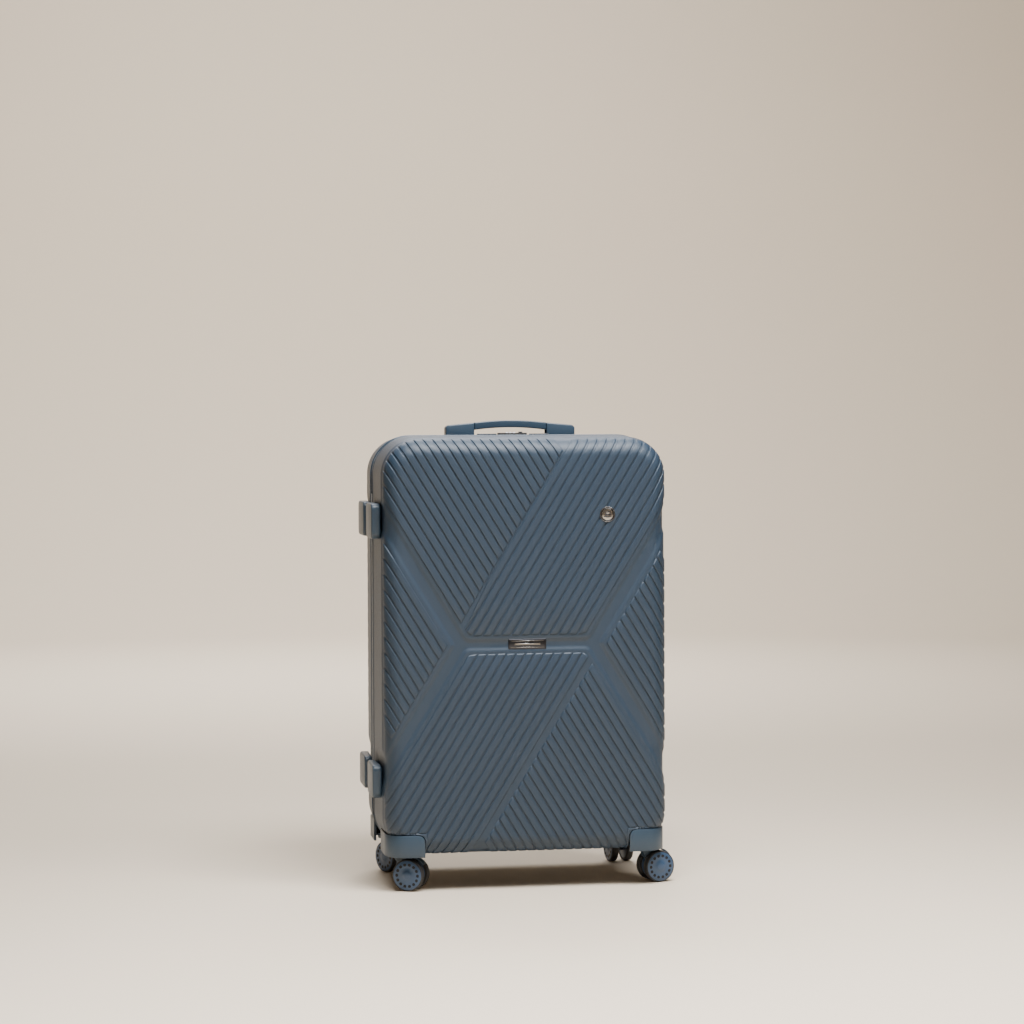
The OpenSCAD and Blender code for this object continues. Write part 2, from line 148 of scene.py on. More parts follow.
class CaseFinishSettings(bpy.types.PropertyGroup):
    """Colours of the case and its stage"""
    shell: colour_of("Shell", "Shell plastic", (0.013, 0.028, 0.050))
    trim: colour_of("Trim", "Feet, housings, forks and handle blocks", (0.023, 0.044, 0.070))
    hub: colour_of("Hub", "Hubs", (0.030, 0.064, 0.128))
    tyre: colour_of("Tyre", "Tyres", (0.012, 0.012, 0.014))
    cloth: colour_of("Cloth", "Zip tape", (0.012, 0.018, 0.028))
    lining: colour_of("Lining", "Lining cloth", (0.10, 0.11, 0.13))
    backdrop: colour_of("Backdrop", "Floor and backdrop", (0.60, 0.515, 0.41))


class CaseStageSettings(bpy.types.PropertyGroup):
    """Camera and light"""
    camera_place: FloatVectorProperty(name="Camera", description="Where the camera stands", unit="LENGTH",
                                      default=(-0.710, -4.325, 0.755))
    yaw: turn_of("Yaw", "Camera's turn to the right", 9.3)
    pitch: turn_of("Pitch", "Camera's tilt down", 1.93)
    roll: turn_of("Roll", "Camera's roll", -0.22)
    lens: FloatProperty(name="Lens", description="Focal length in millimetres", default=92.7)


# ---------------------------------------------------------------- mesh helpers

def smoothstep(low, high, x):
    """0 below low, 1 above high, and an even S curve between them."""
    t = np.clip((np.asarray(x, float) - low) / (high - low), 0, 1)
    return t * t * (3 - 2 * t)


class Form:
    """Vertices, faces and each face's finish, gathered from simple shapes."""

    def __init__(self):
        self.verts, self.faces, self.finish = [], [], []

    def add(self, verts, faces, finish=0, place=None):
        base = len(self.verts)
        if place is not None:
            verts = [place @ Vector(v) for v in verts]
        self.verts += [tuple(v) for v in verts]
        self.faces += [tuple(base + i for i in f) for f in faces]
        self.finish += [finish] * len(faces)
        return self

    def grid(self, points, closed=False, finish=0, place=None):
        """Quads between rows of points; points is rows x columns x 3; closed joins the last column."""
        points = np.asarray(points, float)
        rows, cols = points.shape[:2]
        index = np.arange(rows * cols).reshape(rows, cols)
        if closed:
            index = np.hstack([index, index[:, :1]])
        quads = np.stack([index[:-1, :-1], index[:-1, 1:], index[1:, 1:], index[1:, :-1]], -1)
        return self.add(points.reshape(-1, 3).tolist(), quads.reshape(-1, 4).tolist(), finish, place)

    def bar(self, rows, place=None):
        """A closed section carried through rows of points, with both ends capped."""
        self.grid(rows, True, place=place)
        for end in (0, -1):
            self.add([tuple(point) for point in rows[end]], [list(range(len(rows[end])))], place=place)
        return self

    def lathe(self, profile, steps, place=None, finish=0):
        """A closed turned shape; profile is (radius, height) from the bottom's axis to the top's."""
        turn = np.linspace(0, 2 * math.pi, steps, endpoint=False)
        rows = [[(r * math.cos(a), r * math.sin(a), h) for a in turn] for r, h in profile]
        return self.grid(rows, True, finish, place)

    def block(self, low, high, bevel=0.0, steps=2, finish=0, place=None):
        """A box with rounded edges."""
        bm = bmesh.new()
        bmesh.ops.create_cube(bm, size=1)
        for v in bm.verts:
            v.co = Vector((low[i] + (v.co[i] + 0.5) * (high[i] - low[i]) for i in range(3)))
        return self.take(bm, bevel, steps, finish, place)

    def take(self, bm, bevel=0.0, steps=2, finish=0, place=None, angle=25.0):
        """Adds a bmesh, with its sharp edges rounded."""
        if bevel:
            sharp = [e for e in bm.edges if len(e.link_faces) == 2
                     and e.calc_face_angle(0) > math.radians(angle)]
            bmesh.ops.bevel(bm, geom=sharp, offset=bevel, segments=steps, profile=0.5, affect="EDGES",
                            clamp_overlap=True)
        bm.verts.index_update()
        self.add([v.co.copy() for v in bm.verts], [[v.index for v in f.verts] for f in bm.faces],
                 finish, place)
        bm.free()
        return self

    def piece(self, name, finishes, body, nodes=(), slot=None, sharp=38.0, merge=1e-6):
        """The finished object, which rides on body and stands for nodes."""
        mesh = bpy.data.meshes.new(name)
        mesh.from_pydata(self.verts, [], self.faces)
        for finish in finishes:
            mesh.materials.append(finish)
        mesh.polygons.foreach_set("material_index", self.finish)
        bm = bmesh.new()
        bm.from_mesh(mesh)
        bmesh.ops.remove_doubles(bm, verts=bm.verts, dist=merge)
        bmesh.ops.dissolve_degenerate(bm, edges=bm.edges, dist=merge)
        bmesh.ops.recalc_face_normals(bm, faces=bm.faces)
        bm.to_mesh(mesh)
        bm.free()
        return finish_piece(mesh, name, body, nodes, sharp)


def finish_piece(mesh, name, body, nodes=(), sharp=38.0):
    """Shades a mesh, links its object and ties it to the frame."""
    mesh.shade_smooth()
    mesh.set_sharp_from_angle(angle=math.radians(sharp))
    obj = bpy.data.objects.new(name, mesh)
    bpy.context.scene.collection.objects.link(obj)
    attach(obj, body)
    if nodes:
        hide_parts(*nodes)
    return obj


def body_of_node(node):
    """The body that a CAD node is on."""
    return frame["nodes"][node]["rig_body"]


def refine(node, finish, bevel=0.0008, steps=2, angle=25.0):
    """A CAD node's copy with clean faces and rounded edges, in its place."""
    bm = bmesh.new()
    bm.from_mesh(frame["nodes"][node].data)
    bmesh.ops.remove_doubles(bm, verts=bm.verts, dist=1e-6)
    bmesh.ops.dissolve_limit(bm, angle_limit=math.radians(0.5), verts=bm.verts, edges=bm.edges)
    form = Form().take(bm, bevel, steps, angle=angle)
    slot = next(s["material_slot"] for s in frame["record"]["subparts"] if s["node"] == node)
    return form.piece(node + "_form", [finish], body_of_node(node), (node,), slot)


# ---------------------------------------------------------------- materials

class Value:
    """A shader socket that takes part in arithmetic."""

    def __init__(self, shader, socket):
        self.shader, self.socket = shader, socket

    def _math(self, kind, a, b):
        return self.shader.node("ShaderNodeMath", {"operation": kind}, {0: a, 1: b})

    def __add__(self, other): return self._math("ADD", self, other)
    def __radd__(self, other): return self._math("ADD", other, self)
    def __sub__(self, other): return self._math("SUBTRACT", self, other)
    def __rsub__(self, other): return self._math("SUBTRACT", other, self)
    def __mul__(self, other): return self._math("MULTIPLY", self, other)
    def __rmul__(self, other): return self._math("MULTIPLY", other, self)


class Shader:
    """A material's node tree, with one way to add a node."""

    def __init__(self, name):
        self.material = bpy.data.materials.new(name)
        self.material.use_nodes = True
        self.tree = self.material.node_tree
        self.surface = self.tree.nodes["Principled BSDF"]

    def node(self, kind, settings=None, sockets=None, out=0):
        made = self.tree.nodes.new(kind)
        for key, value in (settings or {}).items():
            if key == "stops":
                for i, (at, colour) in enumerate(value):
                    stop = made.color_ramp.elements[i] if i < 2 else made.color_ramp.elements.new(at)
                    stop.position, stop.color = at, colour
            else:
                setattr(made, key, value)
        self.join(made, sockets or {})
        return Value(self, made.outputs[out])

    def join(self, made, sockets):
        for key, value in sockets.items():
            if isinstance(value, Value):
                self.tree.links.new(value.socket, made.inputs[key])
            else:
                made.inputs[key].default_value = value

    def surface_is(self, **sockets):
        self.join(self.surface, {key.replace("_", " "): value for key, value in sockets.items()})
        return self.material

    def place(self):
        return self.node("ShaderNodeTexCoord", out=3)

    def noise(self, scale, detail=3.0, rough=0.55, at=None):
        return self.node("ShaderNodeTexNoise", {}, {"Vector": at or self.place(), "Scale": scale,
                                                    "Detail": detail, "Roughness": rough})

    def stretched(self, scale):
        """Object coordinates, stretched by scale along each axis."""
        return self.node("ShaderNodeVectorMath", {"operation": "MULTIPLY"},
                         {0: self.place(), 1: scale})

    def blend(self, mask, first, second):
        """A colour between first and second, as mask goes from 0 to 1."""
        made = self.tree.nodes.new("ShaderNodeMix")
        made.data_type = "RGBA"
        self.join(made, {0: mask, 6: first, 7: second})
        return Value(self, made.outputs[2])

    def bump(self, height, strength, distance):
        return self.node("ShaderNodeBump", {}, {"Strength": strength, "Distance": distance,
                                                "Height": height})


def rgba(colour, factor=1.0):
    return (*[min(1.0, c * factor) for c in colour], 1.0)


def moulded(name, colour, rough=0.42, grain=1400.0, bump=0.00012, spread=0.12):
    """Moulded plastic: fine grain, faint clouding and slightly uneven gloss."""
    s = Shader(name)
    cloud = s.noise(14.0, 4.0)
    fine = s.noise(grain, 2.0, 0.6)
    tint = s.blend(cloud, rgba(colour, 1 - spread), rgba(colour, 1 + spread))
    colour_out = s.blend(fine * 0.30, tint, rgba(colour, 1.45))
    roughness = cloud * 0.10 + fine * 0.12 + (rough - 0.11)
    return s.surface_is(Base_Color=colour_out, Roughness=roughness,
                        Normal=s.bump(fine, 0.55, bump))


def scuffed(name, colour):
    """Shell plastic: fine leathery grain, soft clouding and a few hairline scuffs."""
    s = Shader(name)
    cloud = s.noise(7.0, 5.0)
    cells = s.node("ShaderNodeTexVoronoi", {"feature": "F1"}, {"Vector": s.place(), "Scale": 1150.0})
    fine = s.noise(1900.0, 2.0, 0.6)
    hair = s.noise(60.0, 6.0, 0.7, s.stretched((1.0, 1.0, 14.0)))
    scuff = s.node("ShaderNodeValToRGB", {"stops": [(0.66, (0, 0, 0, 1)), (0.78, (1, 1, 1, 1))]},
                   {"Fac": hair})
    tint = s.blend(cloud, rgba(colour, 0.90), rgba(colour, 1.12))
    grained = s.blend(cells * 0.55, tint, rgba(colour, 1.55))
    roughness = cloud * 0.10 + fine * 0.10 + scuff * 0.06 + 0.38
    height = cells * 0.6 + fine * 0.4
    return s.surface_is(Base_Color=grained, Roughness=roughness, Normal=s.bump(height, 0.75, 0.00030))


def woven(name, colour, threads=1500.0, sheen=0.3, rough=0.85):
    """Woven cloth: two crossed thread waves with uneven dye."""
    s = Shader(name)
    at = s.place()
    warp = s.node("ShaderNodeTexWave", {"bands_direction": "DIAGONAL"},
                  {"Vector": at, "Scale": threads * WAVES_PER_THREAD, "Distortion": 0.6, "Detail": 1.0})
    weft = s.node("ShaderNodeTexWave", {"bands_direction": "Z"},
                  {"Vector": at, "Scale": threads * WAVES_PER_THREAD, "Distortion": 0.6, "Detail": 1.0})
    weave = warp * 0.5 + weft * 0.5
    cloud = s.noise(18.0, 4.0)
    tint = s.blend(cloud, rgba(colour, 0.8), rgba(colour, 1.2))
    return s.surface_is(Base_Color=s.blend(weave * 0.6, tint, rgba(colour, 1.9)),
                        Roughness=cloud * 0.1 + (rough - 0.05), Sheen_Weight=sheen,
                        Normal=s.bump(weave, 0.6, 0.00025))


def brushed(name, colour, rough=0.28, stretch=(1.0, 1.0, 60.0), scale=180.0):
    """Brushed or anodised metal with fine lines along one way."""
    s = Shader(name)
    lines = s.noise(scale, 4.0, 0.6, s.stretched(stretch))
    smear = s.noise(30.0, 3.0)
    return s.surface_is(Base_Color=s.blend(lines, rgba(colour, 0.82), rgba(colour, 1.12)), Metallic=1.0,
                        Roughness=lines * 0.12 + smear * 0.10 + (rough - 0.1),
                        Normal=s.bump(lines, 0.25, 0.00006))


def rubber(name, colour):
    """Wheel rubber: matt, with floor dust in its pores."""
    s = Shader(name)
    dust = s.noise(90.0, 5.0, 0.65)
    pore = s.noise(1600.0, 2.0, 0.6)
    mask = s.node("ShaderNodeValToRGB", {"stops": [(0.50, (0, 0, 0, 1)), (0.75, (1, 1, 1, 1))]},
                  {"Fac": dust})
    return s.surface_is(Base_Color=s.blend(mask * 0.35, rgba(colour), (0.09, 0.085, 0.08, 1)),
                        Roughness=pore * 0.16 + 0.55, Normal=s.bump(pore, 0.5, 0.00012))


FINISH = {}


def make_finishes():
    c = bpy.context.scene.case_finish
    FINISH.update(
        shell=scuffed("shell_plastic", c.shell),
        trim=moulded("trim_plastic", c.trim, 0.42),
        grip=moulded("grip_plastic", tuple(x * 0.9 for x in c.trim), 0.36),
        black=moulded("black_plastic", (0.012, 0.0125, 0.014), 0.45),
        hub=moulded("hub_plastic", c.hub, 0.36),
        # painted shade: near-black finish for the plugs that stand for the shadow inside the hubs' holes
        dark=moulded("hole_shadow", (0.004, 0.005, 0.008), 0.8),
        tyre=rubber("tyre_rubber", c.tyre),
        cloth=woven("zip_cloth", c.cloth),
        lining=woven("lining_cloth", c.lining, 900.0, 0.4, 0.8),
        webbing=woven("strap_webbing", (0.015, 0.016, 0.02), 1100.0),
        teeth=moulded("zip_coil", (0.02, 0.028, 0.04), 0.35),
        tube=brushed("tube_aluminium", (0.62, 0.63, 0.65)),
        steel=brushed("zinc_steel", (0.55, 0.55, 0.56), 0.32),
        slider=brushed("slider_metal", (0.10, 0.11, 0.13), 0.3, (1.0, 1.0, 6.0)),
        plate=brushed("badge_plate_metal", (0.045, 0.047, 0.055), 0.34, (1.0, 1.0, 30.0), 260.0),
        bright=brushed("badge_bright_metal", (0.36, 0.35, 0.34), 0.22, (1.0, 1.0, 8.0), 260.0),
        button=moulded("button_plastic", (0.12, 0.13, 0.15), 0.35),
        dial=moulded("dial_plastic", (0.55, 0.56, 0.58), 0.35),
        backdrop=moulded("backdrop_paper", c.backdrop, 0.9, 500.0, 0.00002, 0.01),
    )


# ---------------------------------------------------------------- the shells' surface

class HalfCase:
    """One shell's outer surface, as a graph over the plane of the seam.

    Distance s runs along the wall from the flat face's middle part, over the rounded edge to the rim.
    """

    def __init__(self, node, inset=0.0):
        low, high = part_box(node)
        c = bpy.context.scene.case_shell
        self.c = c
        self.corner, self.bend = c.corner - inset, c.edge - inset
        self.side = REAR if high.y > 0 else FRONT
        self.rim, self.face = sorted((abs(low.y), abs(high.y)))
        self.mid = (low.z + high.z) / 2
        self.core_x, self.core_z = high.x - self.corner, (high.z - low.z) / 2 - self.corner
        depth = self.face - self.rim
        self.flat = self.corner - (self.bend + (depth - self.bend) * math.sin(c.draft)) / math.cos(c.draft)
        self.turn = math.pi / 2 - c.draft
        self.s_edge = self.flat + self.bend * self.turn
        self.wall_depth = depth - self.bend + self.bend * math.sin(c.draft)
        self.s_rim = self.s_edge + self.wall_depth / math.cos(c.draft)
        self.s_rib = self.s_edge + PAST_EDGE

    def section(self, s):
        """(radius, depth, outward part, faceward part) of the wall at distance s."""
        s = np.asarray(s, float)
        angle = np.clip((s - self.flat) / self.bend, 0, self.turn)
        over = np.maximum(s - self.s_edge, 0)
        radius = np.minimum(s, self.flat) + self.bend * np.sin(angle) + over * math.sin(self.c.draft)
        depth = self.face - self.bend * (1 - np.cos(angle)) - over * math.cos(self.c.draft)
        return radius, depth, np.sin(angle), np.cos(angle)

    def reach(self, x, z):
        """Distance from the core rectangle in the plane, and its direction."""
        qx = np.maximum(np.abs(x) - self.core_x, 0)
        qz = np.maximum(np.abs(z - self.mid) - self.core_z, 0)
        length = np.hypot(qx, qz)
        safe = np.maximum(length, 1e-9)
        return length, np.sign(x) * qx / safe, np.sign(z - self.mid) * qz / safe

    def along(self, radius):
        """Distance s at which the wall has this radius."""
        s = np.linspace(0, self.s_rim, 4000)
        return np.interp(radius, self.section(s)[0], s)

    def lift(self, x, z, height=0.0):
        """Points of the surface over (x, z), raised by height along the surface's normal."""
        length, ux, uz = self.reach(x, z)
        _, depth, out, faceward = self.section(self.along(length))
        return np.stack([x + ux * out * height, self.side * (depth + faceward * height),
                         z + uz * out * height], -1)

    def columns(self, cell, marks=()):
        """Core points and directions once round the case, anticlockwise from the lower right."""
        def run(half):
            return np.unique(np.round(np.concatenate([
                np.linspace(-half, half, max(2, round(2 * half / cell)) + 1),
                [m for m in marks if abs(m) < half]]), 6))
        steps = max(6, round(self.corner * math.pi / 2 / cell * 0.9))
        arc = np.linspace(0, math.pi / 2, steps + 1)[1:-1]
        xs, zs = run(self.core_x), run(self.core_z)
        out = []
        for turn, near, far, line in ((0, self.core_x, self.core_z, zs), (1, self.core_z, self.core_x, xs),
                                      (2, self.core_x, self.core_z, zs), (3, self.core_z, self.core_x, xs)):
            cos, sin = round(math.cos(turn * math.pi / 2)), round(math.sin(turn * math.pi / 2))
            for v in line:
                out.append((cos * near - sin * v, sin * near + cos * v, cos, sin))
            for a in arc:
                out.append((cos * near - sin * far, sin * near + cos * far,
                            math.cos(a + turn * math.pi / 2), math.sin(a + turn * math.pi / 2)))
        return np.array(out), xs, zs

    def point(self, column, s, height):
        """Surface points at columns (n x 4) and distances s (m) with heights (m x n)."""
        radius, depth, out, faceward = (a[:, None] for a in self.section(s))
        span = radius + out * height
        return np.stack([column[None, :, 0] + column[None, :, 2] * span,
                         self.side * (depth + faceward * height),
                         self.mid + column[None, :, 1] + column[None, :, 3] * span], -1)


def cross_inside(half, x, z):
    """How far inside the pressed cross a point lies; negative outside it."""
    c = half.c
    run = 1 / c.rib_slope
    square_to = c.rib_slope / math.hypot(1, c.rib_slope)
    rise = np.abs(z - half.mid - c.cross_rise)
    across = np.abs(x) - rise * run
    arm = np.minimum(across - c.arm_in, c.arm_out - across) * square_to
    waist = np.minimum(c.waist - rise, c.arm_out - 0.004 - np.abs(x))
    blend = 0.007
    h = np.clip(0.5 + 0.5 * (arm - waist) / blend, 0, 1)
    return waist * (1 - h) + arm * h + blend * h * (1 - h)


def shell_height(half, x, z, s):
    """Height of the shell's surface below or above its plain form, without the ribs."""
    c = half.c
    ribbed = 1 - smoothstep(half.s_rib - 0.004, half.s_rib + 0.003, s)
    ribbed = ribbed * (1 - corner_pad(half, x, z))
    cross = smoothstep(-0.001, 0.0105, cross_inside(half, x, z))
    cross = cross * (1 - smoothstep(half.s_rim - 0.030, half.s_rim - 0.012, s))
    return -np.maximum(ribbed * c.rib_height, cross * c.cross_depth)


def corner_pad(half, x, z):
    """1 where a wheel housing covers the shell."""
    low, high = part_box("front_wheel_housings")
    return smoothstep(0.163, 0.166, np.abs(x)) * (1 - smoothstep(high.z + 0.001, high.z + 0.004, z))


def in_pad(half, x, z, s):
    """1 under a wheel housing, where the shell steps in beneath the cover; the step is the cover's seam."""
    c = half.c
    low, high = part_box("front_wheel_housings")
    across, below = np.abs(x) - c.cover_in, high.z - z
    rounded = c.cover_round - np.hypot(c.cover_round - across, c.cover_round - below)
    at_corner = (across < c.cover_round) & (below < c.cover_round)
    inside = np.where(at_corner, rounded, np.minimum(across, below))
    return (smoothstep(-0.0013, 0.0002, inside)
            * smoothstep(-high.y - 0.0012, -high.y + 0.0002, half.section(s)[1]))


def half_form(half, cell, rows, inner_rows, outer_height, inner_height, marks=(), hole=None,
              inner_grid=False, settle=None):
    """A closed half shell between two heights; hole is (half width, first distance, last distance)."""
    column, xs, zs = half.columns(cell, marks)
    count = len(column)

    def ring(distances, height):
        radius = half.section(distances)[0][:, None]
        x = column[None, :, 0] + column[None, :, 2] * radius
        z = half.mid + column[None, :, 1] + column[None, :, 3] * radius
        s = np.broadcast_to(distances[:, None], x.shape)
        points = half.point(column, distances, height(x, z, s))
        return settle(points, x, z, s) if settle else points

    outer, inner = ring(rows, outer_height), ring(inner_rows, inner_height)
    verts = np.concatenate([outer.reshape(-1, 3), inner.reshape(-1, 3)])
    index_o = np.arange(outer.shape[0] * count).reshape(-1, count)
    index_i = index_o.size + np.arange(inner.shape[0] * count).reshape(-1, count)
    after = (np.arange(count) + 1) % count
    open_columns = np.zeros(count, bool)
    if hole:
        on_top = (column[:, 3] == 1) & (np.abs(column[:, 0]) <= hole[0] + 1e-6)
        open_columns = on_top & on_top[after]

    def skin(index, distances):
        quads = []
        for i in range(len(distances) - 1):
            kept = np.ones(count, bool)
            if hole and distances[i] >= hole[1] - 1e-7 and distances[i + 1] <= hole[2] + 1e-7:
                kept = ~open_columns
            quads.append(np.stack([index[i], index[i][after], index[i + 1][after], index[i + 1]], 1)[kept])
        return np.concatenate(quads).tolist()

    def row_at(distances, s):
        return int(np.argmin(np.abs(distances - s)))

    faces = skin(index_o, rows) + skin(index_i, inner_rows)
    faces += np.stack([index_o[-1], index_o[-1][after], index_i[-1][after], index_i[-1]], 1).tolist()
    if hole:
        for s in hole[1:]:
            o, i = index_o[row_at(rows, s)], index_i[row_at(inner_rows, s)]
            faces += np.stack([o, o[after], i[after], i], 1)[open_columns].tolist()
        ends = [int(np.flatnonzero(open_columns)[0]), int(after[np.flatnonzero(open_columns)[-1]])]
        first_o, first_i = row_at(rows, hole[1]), row_at(inner_rows, hole[1])
        for k in range(row_at(rows, hole[2]) - first_o):
            o, i = first_o + k, first_i + k
            faces += [[index_o[o, c], index_o[o + 1, c], index_i[i + 1, c], index_i[i, c]] for c in ends]
    form = Form().add(verts.tolist(), faces)
    grid_x, grid_z = np.meshgrid(xs, half.mid + zs)
    still = np.zeros_like(grid_x)
    form.grid(half.lift(grid_x, grid_z, outer_height(grid_x, grid_z, still)))
    if inner_grid:
        form.grid(half.lift(grid_x, grid_z, inner_height(grid_x, grid_z, still)))
    else:
        form.add(inner[0].tolist(), [list(range(count))])
    return form


def shell_form(node, rear_hole):
    """One shell with its pressed cross, grooved ground and stepped corners."""
    half = HalfCase(node)
    c = half.c
    rows = [np.linspace(0, half.flat, 13), np.linspace(half.flat, half.s_edge, 20),
            np.linspace(half.s_edge, half.s_rim, 26)]
    low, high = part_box("front_wheel_housings")
    seam = (half.mid - half.core_z) - high.z
    rows.append(np.array([seam - 0.0014, seam]))
    hole, marks = None, tuple(side * (c.cover_in - step) for side in (-1, 1) for step in (0.0014, -0.0002))
    if rear_hole:
        low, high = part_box("trolley_cup")
        s = np.linspace(0, half.s_rim, 6000)
        depth = half.section(s)[1]
        hole = (high.x, float(np.interp(-high.y, -depth, s)), float(np.interp(-low.y, -depth, s)))
        marks += (-high.x, high.x)
        rows.append(np.array(hole[1:]))
    rows = np.unique(np.round(np.concatenate(rows), 7))
    if hole:
        hole = (hole[0], *[float(rows[np.argmin(np.abs(rows - s))]) for s in hole[1:]])
    keep = np.arange(len(rows)) % 6 == 0
    keep[-1] = True
    if hole:
        keep |= (rows >= hole[1] - 1e-7) & (rows <= hole[2] + 1e-7)

    def outer_height(x, z, s):
        return np.minimum(shell_height(half, x, z, s), -COVER_STEP * in_pad(half, x, z, s))

    def inner_height(x, z, s):
        deep = c.wall + c.cross_depth + 0.0035 * in_pad(half, x, z, s)
        near_rim = smoothstep(half.s_rim - 0.030, half.s_rim - 0.010, s)
        return -(deep * (1 - near_rim) + c.wall * near_rim)

    def settle(points, x, z, s):
        pad = in_pad(half, x, z, s)
        points[..., 2] = np.maximum(points[..., 2], points[..., 2] + (COVER_FLOOR - points[..., 2]) * pad)
        return points

    return half, half_form(half, c.cell, rows, rows[keep], outer_height, inner_height, marks, hole,
                           settle=settle)


def cover_form(node, side):
    """The two corner covers over a half's casters, each with its floor and boss."""
    c = bpy.context.scene.case_shell
    low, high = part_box(node)
    near, deep = sorted((abs(low.y), abs(high.y)))
    reach, corner, proud, thick = high.x, 0.038, 0.0004, 0.004
    start = c.cover_in + c.cover_round * (1 - np.cos(np.linspace(0, math.pi / 2, 9)))
    path = [(x, deep, 0, 1) for x in start] + [(reach - corner - 0.004, deep, 0, 1)]
    path += [(reach - corner + corner * math.sin(a), deep - corner + corner * math.cos(a),
              math.sin(a), math.cos(a)) for a in np.linspace(0, math.pi / 2, 19)]
    path += [(reach, y, 1, 0) for y in np.linspace(deep - corner, near, 8)[1:]]
    form = Form()
    for mirror in (-1, 1):
        rows = []
        for x, y, nx, ny in path:
            left = max(c.cover_in + c.cover_round - x, 0) if nx == 0 else 0
            top = high.z - c.cover_round + math.sqrt(max(c.cover_round ** 2 - left ** 2, 0))
            rows.append([(mirror * (x - nx * (inward - proud)), side * (y - ny * (inward - proud)), z)
                         for inward, z in ((0.0012, low.z), (0.0003, low.z + 0.0004), (0, low.z + 0.0014),
                                           (0, top - 0.0012), (0.0004, top - 0.0004), (0.0013, top),
                                           (thick, top), (thick, low.z))])
        form.bar(rows)
        edge = [(c.cover_in, near)] + [(x - nx * 0.002, y - ny * 0.002) for x, y, nx, ny in path]
        floor = [[(mirror * x, side * y, z) for x, y in edge] for z in (low.z + 0.009, low.z + 0.012)]
        form.bar(floor)
        name = f"{'front' if side == FRONT else 'rear'}_{'left' if mirror < 0 else 'right'}_swivel_turn"
        pivot = Vector(joint_of(name)["pos_m"])
        pivot.z = low.z
        form.lathe([(0, 0.0064), (0.0090, 0.0064), (0.0100, 0.0072), (0.0105, 0.0095), (0, 0.0095)], 40,
                   Matrix.Translation(pivot))
    return form


# ---------------------------------------------------------------- the ribs

RIB_SECTION = ((-5.4, -1.9), (-5.25, -0.75), (-4.7, -0.14), (-4.1, 0.0),
               (4.1, 0.0), (4.7, -0.14), (5.25, -0.75), (5.4, -1.9))
FIRST_RIB = 0.0072        # from a zone's parallel edge to its first rib's middle
SHORTEST_RIB = 0.014
RIB_LIMIT = 0.0639        # the furthest out from the shell's core that a rib may be
COVER_CLEAR = (0.1655, 0.0955)  # no ribs further out and lower than this, where the covers are
CUP_CLEAR = 0.115         # half width kept free of ribs round the pull-out handle's cup
UPPER_SPLIT = (-0.025, 0.5675, 1.65)  # x and z of a point on the line between the upper fields, its slope
LOWER_SPLIT = (0.016, 0.176)  # the same for the lower fields: x, and how far below the cross's middle


def rib_zones(half):
    """Where ribs stand: a point on the zone's parallel edge, their run, the way to the next, the mask."""
    c = half.c
    slope, unit = c.rib_slope, 1 / math.hypot(1, c.rib_slope)
    gap = 0.0016

    def rise(z):
        return z - half.mid - c.cross_rise

    def upper_split(z):
        return UPPER_SPLIT[0] + (z - UPPER_SPLIT[1]) / UPPER_SPLIT[2]

    def lower_split(z):
        return LOWER_SPLIT[0] + (rise(z) + LOWER_SPLIT[1]) / slope

    def zone(x0, dx, dz, nx, nz, mask):
        return ((x0, half.mid + c.cross_rise), np.array([dx, dz * slope]) * unit,
                np.array([nx * slope, nz]) * unit, mask)

    return [
        zone(c.arm_in, 1, 1, -1, 1,
             lambda x, z: (rise(z) > 0) & (x < c.arm_in + rise(z) / slope) & (x > upper_split(z) + gap)),
        zone(-c.arm_in, -1, 1, 1, 1,
             lambda x, z: (rise(z) > 0) & (x > -c.arm_in - rise(z) / slope) & (x < upper_split(z) - gap)),
        zone(-c.arm_in, -1, -1, 1, -1,
             lambda x, z: (rise(z) < 0) & (x > -c.arm_in + rise(z) / slope) & (x < lower_split(z) - gap)),
        zone(c.arm_in, 1, -1, -1, -1,
             lambda x, z: (rise(z) < 0) & (x < c.arm_in - rise(z) / slope) & (x > lower_split(z) + gap)),
        zone(c.arm_out, 1, -1, 1, 1, lambda x, z: x > c.arm_out + np.abs(rise(z)) / slope),
        zone(-c.arm_out, -1, 1, -1, -1, lambda x, z: x < -c.arm_out - np.abs(rise(z)) / slope),
    ]


